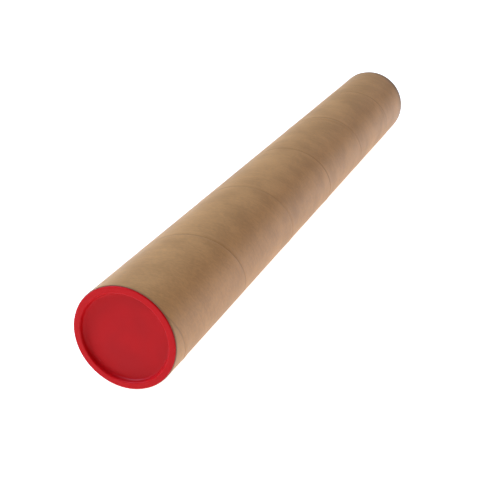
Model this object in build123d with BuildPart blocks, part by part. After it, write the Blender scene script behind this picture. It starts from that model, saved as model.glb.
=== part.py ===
"""Drawing tube: a spiral-wound paperboard tube closed by a push-in plastic cap at each end.

Frame, in millimetres: the tube lies on its side along Y, +Z is up and +X is to the right. The
origin is on the surface that the tube rests on, under the middle of its length. The front cap is
at -Y and the rear cap at +Y.
"""

import os
from math import ceil, pi, sqrt

from build123d import *

# Tube: trade sizes of bore and length, and the papers that the wall is wound from.
bore_diameter = 76.2
tube_length = 660.4
liner_thickness = 0.20
core_ply_thickness = 0.35
core_ply_count = 4
wrap_thickness = 0.20
glue_line = 0.02

# Winding: every ply is one long strip laid as a right-handed helix. The edges of the two face
# plies stand a little apart, and those of the core plies are butted tight and glued, so that
# each core ply is a closed shell. A seam is placed by where it first crosses the top of the
# tube, from the front end.
wrap_strip_width = 104.4
butt_gap = 0.6
wrap_seam_from_front = 97.7
liner_seam_from_front = 86.2

# Cap: a thin-walled plug with a dished face and a flange that stops on the end of the tube.
flange_thickness = 1.5
flange_inset = 0.5
rim_rounding = 0.6
recess_lip_rounding = 1.0
recess_depth = 4.0
recess_mouth_radius = 34.4
recess_floor_radius = 33.7
recess_wall = 1.1
recess_corner_rounding = 2.4
floor_thickness = 1.3
skirt_length = 19.0
skirt_wall = 1.2
skirt_clearance = 0.4
lead_in_length = 3.0
lead_in_depth = 0.7

# Crush ribs: low rounded ridges along the skirt, which bear on the bore.
rib_count = 24
rib_clearance = 0.05
rib_start = 2.0
rib_length = 13.0

# Moulding marks on the hidden side of the cap's floor: the gate stub and the ejector pin pads.
gate_radius = 1.3
gate_height = 0.6
ejector_count = 4
ejector_radius = 2.5
ejector_ring_radius = 25.0
ejector_depth = 0.2

# The cutter for a butt gap reaches past both faces of its ply, and each turn laps the next.
cutter_overreach = 0.2
turn_lap = 0.02

# Sizes that follow from the driving ones.
bore_radius = bore_diameter / 2
liner_outer_radius = bore_radius + liner_thickness
core_inner_radius = liner_outer_radius + glue_line
wrap_inner_radius = core_inner_radius + core_ply_count * (core_ply_thickness + glue_line)
tube_radius = wrap_inner_radius + wrap_thickness
front_end = -tube_length / 2
overall_length = tube_length + 2 * flange_thickness
circumference = 2 * pi * tube_radius
pitch = wrap_strip_width / sqrt(1 - (wrap_strip_width / circumference) ** 2)
flange_radius = tube_radius - flange_inset
skirt_radius = bore_radius - skirt_clearance

# The plane of the tube's front end, and the outer face of each cap. A cap's plane has its x
# pointing into the tube and its y pointing up, so that a profile reads as (depth, radius).
tube_start = Plane(origin=(0, front_end, tube_radius), x_dir=(1, 0, 0), z_dir=(0, 1, 0))
front_face = Plane(origin=(0, -overall_length / 2, tube_radius), x_dir=(0, 1, 0), z_dir=(1, 0, 0))
rear_face = Plane(origin=(0, overall_length / 2, tube_radius), x_dir=(0, -1, 0), z_dir=(-1, 0, 0))


def make_core_ply(inner_radius):
    """One core strip with its turns butted tight: a thin closed shell."""
    with BuildPart() as ply:
        with BuildSketch(tube_start):
            Circle(inner_radius + core_ply_thickness)
            Circle(inner_radius, mode=Mode.SUBTRACT)
        extrude(amount=tube_length)
    return ply


def make_face_ply(inner_radius, thickness, seam_from_front):
    """The liner or the wrap: a thin shell parted by the helical gap between its turns."""
    middle_radius = inner_radius + thickness / 2
    first_turn = -1
    end_turn = ceil((tube_length - seam_from_front) / pitch)
    with BuildPart() as ply:
        with BuildSketch(tube_start):
            Circle(inner_radius + thickness)
            Circle(inner_radius, mode=Mode.SUBTRACT)
        extrude(amount=tube_length)

        for turn in range(first_turn, end_turn):
            turn_start = front_end + seam_from_front + turn * pitch
            with BuildLine() as seam:
                Helix(
                    pitch,
                    (1 + turn_lap) * pitch,
                    middle_radius,
                    center=(0, turn_start, tube_radius),
                    direction=(0, 1, 0),
                )
            with BuildSketch(Plane(origin=seam.line @ 0, x_dir=(0, 0, 1), z_dir=seam.line % 0)):
                Rectangle(thickness + 2 * cutter_overreach, butt_gap)
            sweep(is_frenet=True, mode=Mode.SUBTRACT)
    return ply


def make_cap(face):
    """Push-in cap on its outer face's plane: flange, dished face, skirt, ribs and mould marks."""
    inward = Axis(face.origin, face.x_dir)
    floor_back = recess_depth + floor_thickness
    skirt_end = flange_thickness + skirt_length
    skirt_inner_radius = skirt_radius - skirt_wall
    rib_plane = Plane(
        origin=face.origin + face.x_dir * (flange_thickness + rib_start), z_dir=face.x_dir
    )
    floor_plane = Plane(origin=face.origin + face.x_dir * floor_back, z_dir=face.x_dir)

    with BuildPart() as cap:
        with BuildSketch(face):
            with BuildLine():
                Polyline(
                    (recess_depth, 0),
                    (recess_depth, recess_floor_radius),
                    (0, recess_mouth_radius),
                    (0, flange_radius),
                    (flange_thickness, flange_radius),
                    (flange_thickness, skirt_radius),
                    (skirt_end - lead_in_length, skirt_radius),
                    (skirt_end, skirt_radius - lead_in_depth),
                    (skirt_end, skirt_inner_radius),
                    (flange_thickness, skirt_inner_radius),
                    (flange_thickness, recess_mouth_radius + recess_wall),
                    (floor_back, recess_floor_radius + recess_wall),
                    (floor_back, 0),
                    close=True,
                )
            make_face()
        revolve(axis=inward)

        on_face = cap.edges().filter_by(GeomType.CIRCLE).group_by(inward)[0]
        fillet(on_face.sort_by(SortBy.RADIUS)[0], recess_lip_rounding)
        on_face = cap.edges().filter_by(GeomType.CIRCLE).group_by(inward)[0]
        fillet(on_face.sort_by(SortBy.RADIUS)[-1], rim_rounding)
        at_recess_floor = cap.edges().filter_by_position(inward, recess_depth, recess_depth)
        fillet(at_recess_floor.filter_by(GeomType.CIRCLE), recess_corner_rounding)

        with BuildSketch(rib_plane):
            with PolarLocations(skirt_radius, rib_count):
                Circle(skirt_clearance - rib_clearance)
        extrude(amount=rib_length)

        with BuildSketch(floor_plane):
            Circle(gate_radius)
        extrude(amount=gate_height)
        with BuildSketch(floor_plane):
            with PolarLocations(ejector_ring_radius, ejector_count):
                Circle(ejector_radius)
        extrude(amount=-ejector_depth, mode=Mode.SUBTRACT)
    return cap


os.makedirs("parts", exist_ok=True)

inner_liner = make_face_ply(bore_radius, liner_thickness, liner_seam_from_front)
inner_liner.part.label = "inner_liner"
export_step(inner_liner.part, "parts/inner_liner.step")

for number in range(1, core_ply_count + 1):
    core_ply = make_core_ply(core_inner_radius + (number - 1) * (core_ply_thickness + glue_line))
    core_ply.part.label = f"core_ply_{number}"
    export_step(core_ply.part, f"parts/core_ply_{number}.step")

outer_wrap = make_face_ply(wrap_inner_radius, wrap_thickness, wrap_seam_from_front)
outer_wrap.part.label = "outer_wrap"
export_step(outer_wrap.part, "parts/outer_wrap.step")

front_cap = make_cap(front_face)
front_cap.part.label = "front_cap"
export_step(front_cap.part, "parts/front_cap.step")

rear_cap = make_cap(rear_face)
rear_cap.part.label = "rear_cap"
export_step(rear_cap.part, "parts/rear_cap.step")

wall = tube_radius - bore_radius
print(f"tube {2 * tube_radius:.1f} mm across, wall {wall:.2f} mm, overall {overall_length:.1f} mm")
print(f"winding pitch {pitch:.2f} mm")
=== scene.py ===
from math import ceil, cos, exp, floor, hypot, pi, radians, sin, sqrt, tau

import bmesh
import bpy
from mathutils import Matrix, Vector, noise


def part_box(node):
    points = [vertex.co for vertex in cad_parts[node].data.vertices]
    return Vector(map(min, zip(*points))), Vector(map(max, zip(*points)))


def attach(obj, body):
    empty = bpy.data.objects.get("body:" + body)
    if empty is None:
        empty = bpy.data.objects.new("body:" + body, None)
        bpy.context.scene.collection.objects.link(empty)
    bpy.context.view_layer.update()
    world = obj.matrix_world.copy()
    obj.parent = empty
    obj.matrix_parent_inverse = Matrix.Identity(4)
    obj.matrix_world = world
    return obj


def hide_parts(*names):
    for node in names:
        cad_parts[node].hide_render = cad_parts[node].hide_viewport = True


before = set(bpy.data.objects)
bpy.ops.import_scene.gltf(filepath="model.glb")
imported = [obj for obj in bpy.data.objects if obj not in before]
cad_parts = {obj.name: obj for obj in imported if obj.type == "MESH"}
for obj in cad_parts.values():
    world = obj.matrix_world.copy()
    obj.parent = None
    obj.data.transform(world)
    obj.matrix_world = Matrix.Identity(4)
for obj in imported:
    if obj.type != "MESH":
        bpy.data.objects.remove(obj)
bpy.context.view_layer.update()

# Everything is in metres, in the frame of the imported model. The tube lies along Y, and angles
# round it run from +Z towards +X: 0 is the top and 90 degrees the right-hand side.
MM = 0.001

# ------------------------------------------------------------------------------- sizes

# The tube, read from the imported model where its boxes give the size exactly.
front_end, rear_end = [corner[1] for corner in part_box("outer_wrap")]
front_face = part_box("front_cap")[0][1]
tube_length = rear_end - front_end
flange_thickness = front_end - front_face
tube_radius = 40.0 * MM
bore_radius = 38.1 * MM
axis_height = tube_radius

# The plies from the bore outwards, each with the slot of its material.
plies = [
    ("inner_liner", 0.20 * MM, "kraft_liner"),
    ("core_ply_1", 0.35 * MM, "core_board"),
    ("core_ply_2", 0.35 * MM, "core_board"),
    ("core_ply_3", 0.35 * MM, "core_board"),
    ("core_ply_4", 0.35 * MM, "core_board"),
    ("outer_wrap", 0.20 * MM, "kraft_wrap"),
]
glue_line = 0.02 * MM

# How the strips are wound: each ply's joint is a share of the pitch past that of the ply over
# it. The plies on the two faces keep a little gap at their joints, and the core's almost none.
wrap_strip_width = 104.4 * MM
pitch = wrap_strip_width / sqrt(1 - (wrap_strip_width / (tau * tube_radius)) ** 2)
wrap_seam_from_front = 97.7 * MM
seam_stagger = 0.38
core_seam_from_front = wrap_seam_from_front + seam_stagger * pitch
face_half_gap = 0.05 * MM
core_half_gap = 0.015 * MM
segments_per_turn = 180

# The cap's section, as in the part.
flange_radius = 39.5 * MM
rim_rounding = 0.6 * MM
recess_lip_rounding = 1.0 * MM
recess_depth = 4.0 * MM
recess_mouth_radius = 34.4 * MM
recess_floor_radius = 33.7 * MM
recess_wall = 1.1 * MM
recess_corner_rounding = 2.4 * MM
floor_thickness = 1.3 * MM
skirt_radius = 37.7 * MM
skirt_wall = 1.2 * MM
skirt_length = 19.0 * MM
lead_in_length = 3.0 * MM
lead_in_depth = 0.7 * MM
rib_count = 24
rib_height = 0.35 * MM
rib_start = 2.0 * MM
rib_length = 13.0 * MM
gate_radius = 1.3 * MM
gate_height = 0.6 * MM
ejector_count = 4
ejector_radius = 2.5 * MM
ejector_ring_radius = 25.0 * MM
ejector_depth = 0.2 * MM

# ------------------------------------------------------------------------------- helpers


def mesh_object(name, points, faces, facts, sharp_above=radians(35)):
    """A shaded object from points and faces, with coinciding points welded.

    facts are numbers or triples stored at each point under a name, for the shaders.
    """
    mesh = bpy.data.meshes.new(name)
    mesh.from_pydata(points, [], faces)
    for fact, values in facts.items():
        if isinstance(values[0], tuple):
            layer = mesh.attributes.new(fact, "FLOAT_VECTOR", "POINT")
            layer.data.foreach_set("vector", [number for value in values for number in value])
        else:
            layer = mesh.attributes.new(fact, "FLOAT", "POINT")
            layer.data.foreach_set("value", values)
    work = bmesh.new()
    work.from_mesh(mesh)
    bmesh.ops.remove_doubles(work, verts=work.verts, dist=1e-7)
    bmesh.ops.dissolve_degenerate(work, edges=work.edges, dist=1e-8)
    bmesh.ops.recalc_face_normals(work, faces=work.faces)
    work.to_mesh(mesh)
    work.free()
    mesh.shade_smooth()
    mesh.set_sharp_from_angle(angle=sharp_above)
    piece = bpy.data.objects.new(name, mesh)
    bpy.context.scene.collection.objects.link(piece)
    return piece


def bell(distance, width):
    """1 at no distance, falling smoothly to nothing over a few widths."""
    return exp(-((distance / width) ** 2))


def ramp(value, low, high):
    """0 below low, 1 above high and smooth between."""
    t = min(max((value - low) / (high - low), 0), 1)
    return t * t * (3 - 2 * t)


# ------------------------------------------------------------------------------- paper plies


def seam_position(angle, seam_from_front):
    """Where along the tube a ply's joint stands, at an angle counted over the turns."""
    return front_end + seam_from_front + pitch * angle / tau


def seam_distance(angle, y, seam_from_front):
    """Distance from a point on the tube to a ply's nearest joint, square to the joint."""
    turns = (y - seam_position(angle, seam_from_front)) / pitch
    return abs(turns - round(turns)) * wrap_strip_width


def end_distance(y):
    """Distance along the tube to the nearer cut end."""
    return min(y - front_end, rear_end - y)


def painted_end_shade(angle, y):
    """0 away from the cut ends, up to 1 in their painted shade: a band round the rear end, darkest
    on its upper right, and a thin line of painted shadow under the front cap's flange.
    """
    darkest = radians(40)
    upper_right = bell((angle - darkest + pi) % tau - pi, 0.95)
    rear = (0.3 + 0.7 * upper_right) * bell(rear_end - y, 6.8 * MM)
    return max(rear, 0.5 * bell(y - front_end, 1.1 * MM))


def half_gap(angle, seam_from_front, nominal):
    """Half the width of a butt joint, which opens and closes a little along the seam."""
    y = seam_position(angle, seam_from_front)
    wander = noise.noise(Vector((60 * y, 3 * sin(angle), 3 * cos(angle))))
    return nominal * (1 + 0.7 * wander)


def wrap_relief(angle, y):
    """Height of the wrap's outer face over its nominal radius.

    The wrap lifts a little beside its joint, more at some places than at others, has slack
    wrinkles drawn out along the winding there, and sinks over the joint of the ply below.
    """
    here = Vector((tube_radius * sin(angle), y, tube_radius * cos(angle)))
    own_seam = seam_distance(angle, y, wrap_seam_from_front)
    beside = bell(own_seam - 4.0 * MM, 7.0 * MM)
    lift = ramp(noise.noise(here * 16), -0.35, 0.45)
    around = tube_radius * angle
    drawn = Vector((9 * around + 3 * y, 170 * (y - pitch * angle / tau), 0))
    height = 0.07 * MM * noise.noise(here * 25) + 0.03 * MM * noise.noise(here * 110)
    height += 0.18 * MM * beside * (0.3 + lift) * noise.noise(drawn)
    height += (0.03 + 0.14 * lift) * MM * bell(own_seam - 3.0 * MM, 2.4 * MM)
    height -= (0.05 + 0.06 * lift) * MM * bell(own_seam, 0.8 * MM)
    height -= 0.05 * MM * bell(seam_distance(angle, y, core_seam_from_front), 1.3 * MM)
    height -= 0.08 * MM * bell(end_distance(y), 0.5 * MM)
    return height


def plain_relief(angle, y):
    """The inner plies have smooth faces: each lies against the next."""
    return 0


def strip_rows(count, crowding):
    """Fractions across a strip, closer together near both edges."""
    return [k / count - crowding * sin(tau * k / count) / tau for k in range(count + 1)]


def wound_strip(name, inner_radius, outer_radius, seam_from_front, nominal_gap, rows, relief):
    """A paper strip wound into a tube and cut square at both ends, as one closed mesh.

    Each column of points is the strip's section at one angle: outer face, then inner face.
    The shaders get "paper", metres along the flat strip, across it and to its joint, and
    "cut", 0 to 1 where a cut end gets painted shade.
    """
    turn_length = hypot(tau * tube_radius, pitch)
    step = tau / segments_per_turn
    first = tau * (nominal_gap - pitch - seam_from_front) / pitch
    last = tau * (tube_length - seam_from_front - nominal_gap) / pitch
    between = range(floor(first / step + 0.3) + 1, ceil(last / step - 0.3))
    angles = [first] + [k * step for k in between] + [last]

    points, paper, cut = [], [], []
    for angle in angles:
        seam = seam_position(angle, seam_from_front)
        gap_below = half_gap(angle, seam_from_front, nominal_gap)
        gap_above = half_gap(angle + tau, seam_from_front, nominal_gap)
        low = max(front_end, seam + gap_below)
        high = min(rear_end, seam + pitch - gap_above)
        if angle == first:
            low = high = front_end
        if angle == last:
            low = high = rear_end
        outside = [low + (high - low) * row for row in rows]
        for y in outside:
            radius = outer_radius + relief(angle, y)
            points.append((radius * sin(angle), y, axis_height + radius * cos(angle)))
        for y in outside[::-1]:
            points.append((inner_radius * sin(angle), y, axis_height + inner_radius * cos(angle)))
        for y in outside + outside[::-1]:
            around = tube_radius * angle
            along = (around * tau * tube_radius + y * pitch) / turn_length
            across = (y * tau * tube_radius - around * pitch) / turn_length
            paper.append((along, across, seam_distance(angle, y, seam_from_front)))
            cut.append(painted_end_shade(angle, y))

    ring = 2 * len(rows)
    faces = []
    for start in range(0, ring * (len(angles) - 1), ring):
        for k in range(ring):
            here, beside = start + k, start + (k + 1) % ring
            faces.append((here, beside, beside + ring, here + ring))
    return mesh_object(name, points, faces, {"paper": paper, "cut": cut})


# ------------------------------------------------------------------------------- caps


def rounded(corners):
    """An outline through (depth, radius, rounding) corners, each rounding an arc of points."""
    outline = []
    for k, (depth, radius, rounding) in enumerate(corners):
        corner = Vector((depth, radius))
        if not rounding:
            outline.append(corner)
            continue
        before = (Vector(corners[k - 1][:2]) - corner).normalized()
        after = (Vector(corners[k + 1][:2]) - corner).normalized()
        half_angle = before.angle(after) / 2
        centre = corner + (before + after).normalized() * rounding / sin(half_angle)
        start = corner + before * rounding * cos(half_angle) / sin(half_angle) - centre
        finish = corner + after * rounding * cos(half_angle) / sin(half_angle) - centre
        arc_steps = 8
        for step in range(arc_steps + 1):
            along = start.lerp(finish, step / arc_steps)
            outline.append(centre + along.normalized() * rounding)
    return outline


def divided(outline, longest):
    """The same outline with its long straight stretches cut into short ones."""
    points = [outline[0]]
    for start, finish in zip(outline, outline[1:]):
        count = max(1, ceil((finish - start).length / longest))
        points += [start.lerp(finish, k / count) for k in range(1, count + 1)]
    return points


def cap_outline():
    """Half section of a cap as (depth, radius), from the middle of its face to its back."""
    floor_back = recess_depth + floor_thickness
    skirt_end = flange_thickness + skirt_length
    skirt_inner = skirt_radius - skirt_wall
    corners = [
        (recess_depth, 0, 0),
        (recess_depth, recess_floor_radius, recess_corner_rounding),
        (0, recess_mouth_radius, recess_lip_rounding),
        (0, flange_radius, rim_rounding),
        (flange_thickness, flange_radius, 0.2 * MM),
        (flange_thickness, skirt_radius, 0.15 * MM),
        (skirt_end - lead_in_length, skirt_radius, 2.0 * MM),
        (skirt_end, skirt_radius - lead_in_depth, 0.25 * MM),
        (skirt_end, skirt_inner, 0.2 * MM),
        (flange_thickness, skirt_inner, 0.3 * MM),
        (flange_thickness, recess_mouth_radius + recess_wall, 0.3 * MM),
        (floor_back, recess_floor_radius + recess_wall, 0.3 * MM),
        (floor_back, gate_radius, 0.15 * MM),
        (floor_back + gate_height, gate_radius, 0.2 * MM),
        (floor_back + gate_height, 0, 0),
    ]
    return divided(rounded(corners), 1.5 * MM)


def cap_angles():
    """Angles round a cap: close together over each rib, wide apart between them."""
    half_rib = rib_height / skirt_radius
    pitch_angle = tau / rib_count
    spaces = 8
    angles = []
    for rib in range(rib_count):
        middle = rib * pitch_angle
        angles += [middle + half_rib * share for share in (-1, -0.87, -0.5, 0, 0.5, 0.87, 1)]
        space = (pitch_angle - 2 * half_rib) / spaces
        angles += [middle + half_rib + space * k for k in range(1, spaces)]
    return angles


def cap_relief(depth, radius, angle):
    """(extra depth, extra radius) of the crush ribs, ejector marks and the face's slight dish."""
    if abs(radius - skirt_radius) < 0.01 * MM and depth > flange_thickness:
        rib_angle = tau / rib_count
        off_rib = (angle + rib_angle / 2) % rib_angle - rib_angle / 2
        share = min(1, abs(off_rib) * skirt_radius / rib_height)
        from_start = depth - flange_thickness - rib_start
        taper = ramp(from_start, 0, 1.0 * MM) * ramp(rib_length - from_start, 0, 1.0 * MM)
        return 0, rib_height * sqrt(1 - share**2) * taper
    dish = 0
    if radius < recess_floor_radius - recess_corner_rounding:
        dish = 0.25 * MM * (1 - (radius / recess_floor_radius) ** 2)
    if depth > recess_depth + floor_thickness - 0.01 * MM and radius < recess_floor_radius:
        quarter = tau / ejector_count
        off_mark = (angle + quarter / 2) % quarter - quarter / 2
        away = hypot(radius - ejector_ring_radius, off_mark * ejector_ring_radius)
        dish -= ejector_depth * ramp(ejector_radius - away, 0, 0.4 * MM)
    return dish, 0


def moulded_cap(name, face_y, inward):
    """A push-in cap turned about the tube's axis, as one closed mesh.

    The shaders get "edge", 1 on the two edges of the rim that take the knocks, and "rim", 1 on
    its flat face, which is painted paler than the rest as a highlight where it catches the light.
    """
    outline = cap_outline()
    angles = cap_angles()
    rim_edges = [Vector((0, flange_radius)), Vector((0, recess_mouth_radius))]
    rim_middle = Vector((0, (flange_radius + recess_mouth_radius) / 2))
    rim_reach = 3.4 * MM
    points, edge, rim = [], [], []
    for angle in angles:
        for place in outline:
            more_depth, more_radius = cap_relief(place.x, place.y, angle)
            y = face_y + inward * (place.x + more_depth)
            radius = place.y + more_radius
            points.append((radius * sin(angle), y, axis_height + radius * cos(angle)))
            edge.append(max(bell((place - corner).length, 0.8 * MM) for corner in rim_edges))
            rim.append(ramp(rim_reach - (place - rim_middle).length, 0, 1.0 * MM))

    column = len(outline)
    faces = []
    for k in range(len(angles)):
        here, beside = k * column, (k + 1) % len(angles) * column
        for row in range(column - 1):
            faces.append((here + row, here + row + 1, beside + row + 1, beside + row))
    return mesh_object(name, points, faces, {"edge": edge, "rim": rim})


# ------------------------------------------------------------------------------- materials


class Shader:
    """A material's node tree, with short calls for the nodes that are used here."""

    def __init__(self, name):
        self.material = bpy.data.materials.new(name)
        self.material.use_nodes = True
        self.tree = self.material.node_tree
        self.surface = self.tree.nodes["Principled BSDF"]

    def feed(self, socket, value):
        """Links an output to a socket, or sets the socket's own value."""
        if isinstance(value, bpy.types.NodeSocket):
            self.tree.links.new(value, socket)
        else:
            socket.default_value = value

    def add(self, kind, inputs, **settings):
        node = self.tree.nodes.new("ShaderNode" + kind)
        for key, value in settings.items():
            setattr(node, key, value)
        for key, value in inputs.items():
            self.feed(node.inputs[key], value)
        return node

    def attribute(self, name):
        return self.add("Attribute", {}, attribute_name=name)

    def math(self, operation, *values):
        return self.add("Math", dict(enumerate(values)), operation=operation).outputs[0]

    def join(self, x, y, z=0.0):
        return self.add("CombineXYZ", {0: x, 1: y, 2: z}).outputs[0]

    def noise(self, vector, scale, detail, roughness):
        inputs = {"Vector": vector, "Scale": scale, "Detail": detail, "Roughness": roughness}
        return self.add("TexNoise", inputs).outputs["Fac"]

    def spread(self, value, low, high, to_low=0.0, to_high=1.0):
        """A value's range from low to high stretched to another one, smooth and clamped."""
        inputs = {"Value": value, "From Min": low, "From Max": high}
        inputs.update({"To Min": to_low, "To Max": to_high})
        return self.add("MapRange", inputs, interpolation_type="SMOOTHSTEP").outputs[0]

    def mix(self, share, first, second):
        node = self.add("Mix", {0: share}, data_type="RGBA")
        self.feed(node.inputs[6], first)
        self.feed(node.inputs[7], second)
        return node.outputs[2]

    def bump(self, height, distance):
        return self.add("Bump", {"Height": height, "Distance": distance, "Strength": 1}).outputs[0]


def paper_material(name, dark, light, shive, fibre_share, roughness):
    """Uncoated paper: cloudy formation, fibres along the strip, shives, worn joints and ends."""
    s = Shader(name)
    split = s.add("SeparateXYZ", {0: s.attribute("paper").outputs["Vector"]})
    along, across, seam = split.outputs
    cut = s.attribute("cut").outputs["Fac"]

    def drawn_out(times, scale, detail, roughness):
        """Noise that is this many times as long along the strip as across it."""
        flat = s.join(along, s.math("MULTIPLY", across, times))
        return s.noise(flat, scale, detail, roughness)

    cloud = drawn_out(1, 26, 5, 0.6)
    mottle = drawn_out(1.8, 330, 3, 0.6)
    fibre = drawn_out(9, 300, 3, 0.6)
    streak = drawn_out(14, 22, 3, 0.5)
    specks = drawn_out(3.5, 520, 1, 0.4)

    # Each noise varies about a half, so the sum of them all does too.
    parts = ((cloud, 1.9), (mottle, 1.1), (fibre, fibre_share), (streak, 0.45))
    tone = 0.5 - sum(weight for part, weight in parts) / 2
    for part, weight in parts:
        tone = s.math("MULTIPLY_ADD", part, weight, tone)
    colour = s.mix(s.spread(tone, 0, 1), dark, light)
    colour = s.mix(s.spread(specks, 0.74, 0.82, 0, 0.55), colour, shive)

    # The joint is stained here and there, with a paler band beside it, and the cut ends get
    # painted shade.
    blurred = s.math("MULTIPLY_ADD", mottle, 0.6 * MM, seam)
    stain = s.spread(blurred, 0.4 * MM, 1.6 * MM, 1, 0)
    stain = s.math("MULTIPLY", stain, s.spread(cloud, 0.4, 0.6, 0, 0.36))
    colour = s.mix(stain, colour, shive)
    pale_edge = s.spread(seam, 1.2 * MM, 3.5 * MM)
    pale_edge = s.math("MULTIPLY", pale_edge, s.spread(seam, 4.5 * MM, 9.0 * MM, 0.1, 0))
    colour = s.mix(pale_edge, colour, light)
    # Painted shade at the cut ends, varied a little by the mottle.
    end_shade_share = s.math("MULTIPLY", cut, s.spread(mottle, 0.3, 0.7, 0.7, 1))
    colour = s.mix(end_shade_share, colour, shive)
    s.feed(s.surface.inputs["Base Color"], colour)

    uneven = s.spread(mottle, 0.2, 0.8, roughness - 0.07, roughness + 0.07)
    s.feed(s.surface.inputs["Roughness"], uneven)
    height = s.math("MULTIPLY_ADD", fibre, 0.6, mottle)
    s.feed(s.surface.inputs["Normal"], s.bump(height, 0.05 * MM))
    s.surface.inputs["Sheen Weight"].default_value = 0.1
    s.surface.inputs["Sheen Roughness"].default_value = 0.4
    s.surface.inputs["Sheen Tint"].default_value = (1, 0.95, 0.88, 1)
    return s.material


def cap_material(name, base, pale, scuffed):
    """Moulded polyethylene: faint flow marks, a fine spark-eroded grain, scuffs on the rim and a
    painted highlight on its flat face.
    """
    s = Shader(name)
    place = s.add("TexCoord", {}).outputs["Object"]
    edge = s.attribute("edge").outputs["Fac"]
    rim = s.attribute("rim").outputs["Fac"]
    flow = s.noise(place, 30, 3, 0.5)
    grain = s.noise(place, 2600, 2, 0.5)
    rub = s.noise(place, 260, 5, 0.75)
    nicks = s.noise(place, 700, 4, 0.7)

    deep = [channel * 0.86 for channel in base[:3]] + [1]
    colour = s.mix(s.spread(flow, 0.3, 0.7), deep, base)
    # Painted highlight: the rim's flat face is made paler where it catches the light.
    colour = s.mix(rim, colour, pale)
    wear = s.math("MULTIPLY", edge, s.spread(rub, 0.48, 0.66))
    wear = s.math("MAXIMUM", wear, s.spread(nicks, 0.70, 0.76, 0, 0.35))
    colour = s.mix(s.math("MULTIPLY", wear, 0.45), colour, scuffed)
    s.feed(s.surface.inputs["Base Color"], colour)
    gloss = s.spread(flow, 0.3, 0.7, 0.40, 0.47)
    s.feed(s.surface.inputs["Roughness"], s.math("MULTIPLY_ADD", wear, 0.2, gloss))
    height = s.math("MULTIPLY_ADD", grain, 0.25, s.math("MULTIPLY", rub, 0.5))
    s.feed(s.surface.inputs["Normal"], s.bump(height, 0.02 * MM))
    s.surface.inputs["Specular IOR Level"].default_value = 0.14
    s.surface.inputs["Subsurface Weight"].default_value = 0.12
    s.surface.inputs["Subsurface Radius"].default_value = (0.004, 0.0008, 0.0006)
    s.surface.inputs["Subsurface Scale"].default_value = 1.0
    return s.material


# ------------------------------------------------------------------------------- the pieces

papers = {
    "kraft_wrap": paper_material(
        "wrap_paper",
        dark=(0.425, 0.194, 0.060, 1),
        light=(0.585, 0.279, 0.096, 1),
        shive=(0.15, 0.066, 0.022, 1),
        fibre_share=0.5,
        roughness=0.52,
    ),
    "core_board": paper_material(
        "core_board",
        dark=(0.24, 0.165, 0.11, 1),
        light=(0.42, 0.31, 0.215, 1),
        shive=(0.12, 0.08, 0.05, 1),
        fibre_share=0.4,
        roughness=0.85,
    ),
    "kraft_liner": paper_material(
        "liner_paper",
        dark=(0.40, 0.24, 0.13, 1),
        light=(0.62, 0.42, 0.255, 1),
        shive=(0.20, 0.12, 0.06, 1),
        fibre_share=0.5,
        roughness=0.72,
    ),
}
moulded_plastic = cap_material(
    "moulded_plastic",
    base=(0.51, 0.001, 0.003, 1),
    pale=(0.545, 0.001, 0.003, 1),
    scuffed=(0.64, 0.025, 0.03, 1),
)

inner_radius = bore_radius
for plies_inside, (node, thickness, slot) in enumerate(plies):
    plies_outside = len(plies) - 1 - plies_inside
    seam = (wrap_seam_from_front + plies_outside * seam_stagger * pitch) % pitch
    stock, nominal_gap = "paper", face_half_gap
    if slot == "core_board":
        stock, nominal_gap = "board", core_half_gap
    rows, relief = strip_rows(6, 0.5), plain_relief
    if node == "outer_wrap":
        rows, relief = strip_rows(36, 0.8), wrap_relief
    outer_radius = inner_radius + thickness
    name = f"{node}_{stock}"
    ply = wound_strip(name, inner_radius, outer_radius, seam, nominal_gap, rows, relief)
    ply.data.materials.append(papers[slot])
    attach(ply, "tube")
    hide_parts(node)
    inner_radius = outer_radius + glue_line

for node, face_y, inward in (
    ("front_cap", front_face, 1),
    ("rear_cap", rear_end + flange_thickness, -1),
):
    cap = moulded_cap(f"{node}_moulding", face_y, inward)
    cap.data.materials.append(moulded_plastic)
    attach(cap, node)
    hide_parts(node)

# ------------------------------------------------------------------------------- studio

bpy.context.scene.view_settings.view_transform = "Standard"

# A floor that glows a little, so that it is white and the tube's shadow on it is faint.
reach = 30.0
floor_corners = [(-reach, -reach, 0), (reach, -reach, 0), (reach, reach, 0), (-reach, reach, 0)]
floor_mesh = bpy.data.meshes.new("studio_floor")
floor_mesh.from_pydata(floor_corners, [], [(0, 1, 2, 3)])
studio_floor = bpy.data.objects.new("studio_floor", floor_mesh)
bpy.context.scene.collection.objects.link(studio_floor)
pale = Shader("pale_floor")
pale.surface.inputs["Base Color"].default_value = (0.5, 0.5, 0.5, 1)
pale.surface.inputs["Roughness"].default_value = 0.9
pale.surface.inputs["Specular IOR Level"].default_value = 0.1
pale.surface.inputs["Emission Color"].default_value = (1, 1, 1, 1)
pale.surface.inputs["Emission Strength"].default_value = 1.0
floor_mesh.materials.append(pale.material)


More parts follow.
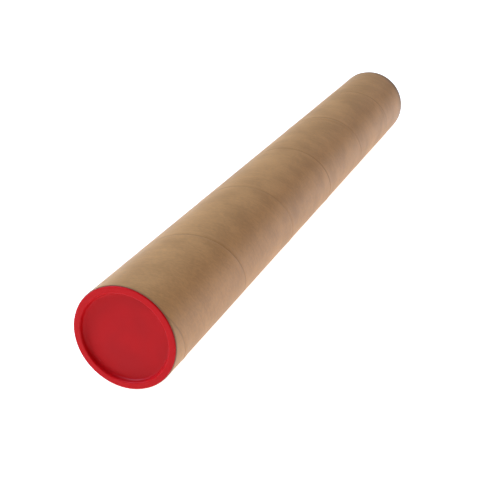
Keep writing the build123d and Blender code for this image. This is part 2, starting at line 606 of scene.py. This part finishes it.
def softbox(name, place, size, power, colour=(1, 1, 1)):
    """A large rectangular light that faces the middle of the tube."""
    light = bpy.data.lights.new(name, "AREA")
    light.shape = "RECTANGLE"
    light.size, light.size_y = size
    light.energy = power
    light.color = colour
    lamp = bpy.data.objects.new(name, light)
    lamp.location = place
    aim = Vector((0, 0, axis_height)) - Vector(place)
    lamp.rotation_euler = aim.to_track_quat("-Z", "Y").to_euler()
    lamp.visible_camera = False
    bpy.context.scene.collection.objects.link(lamp)


daylight = (0.73, 1.04, 1.56)
softbox("key_softbox", (-1.2, -0.85, 1.5), (0.4, 0.4), 23.5, daylight)
softbox("side_softbox", (-1.3, -0.4, 1.4), (1.4, 2.6), 22, daylight)
softbox("top_softbox", (0, 0.3, 2.2), (2.0, 2.0), 14)

# The surroundings are pale at the horizon and dim overhead.
world = bpy.data.worlds.new("studio")
world.use_nodes = True
backdrop = world.node_tree.nodes["Background"]
direction = world.node_tree.nodes.new("ShaderNodeTexCoord")
height = world.node_tree.nodes.new("ShaderNodeSeparateXYZ")
fade = world.node_tree.nodes.new("ShaderNodeMapRange")
fade.interpolation_type = "SMOOTHSTEP"
horizon_top = radians(18)
strengths = {"From Min": 0, "From Max": sin(horizon_top), "To Min": 0.9, "To Max": 0.06}
for socket, value in strengths.items():
    fade.inputs[socket].default_value = value
world.node_tree.links.new(direction.outputs["Generated"], height.inputs[0])
world.node_tree.links.new(height.outputs["Z"], fade.inputs["Value"])
world.node_tree.links.new(fade.outputs[0], backdrop.inputs["Strength"])
backdrop.inputs["Color"].default_value = (1, 1, 1, 1)
bpy.context.scene.world = world

# ------------------------------------------------------------------------------- camera

camera_azimuth, camera_elevation = 21.68, 23.04
camera_from_face = Vector((7.449, -13.284, 8.279)) * tube_radius
face_centre = Vector((0, front_face, axis_height))
camera_data = bpy.data.cameras.new("camera")
camera_data.sensor_width = 36
camera_data.lens = 74.39
camera = bpy.data.objects.new("camera", camera_data)
camera.location = face_centre + camera_from_face
camera.rotation_euler = (radians(90 - camera_elevation), 0, radians(camera_azimuth))
bpy.context.scene.collection.objects.link(camera)
bpy.context.scene.camera = camera
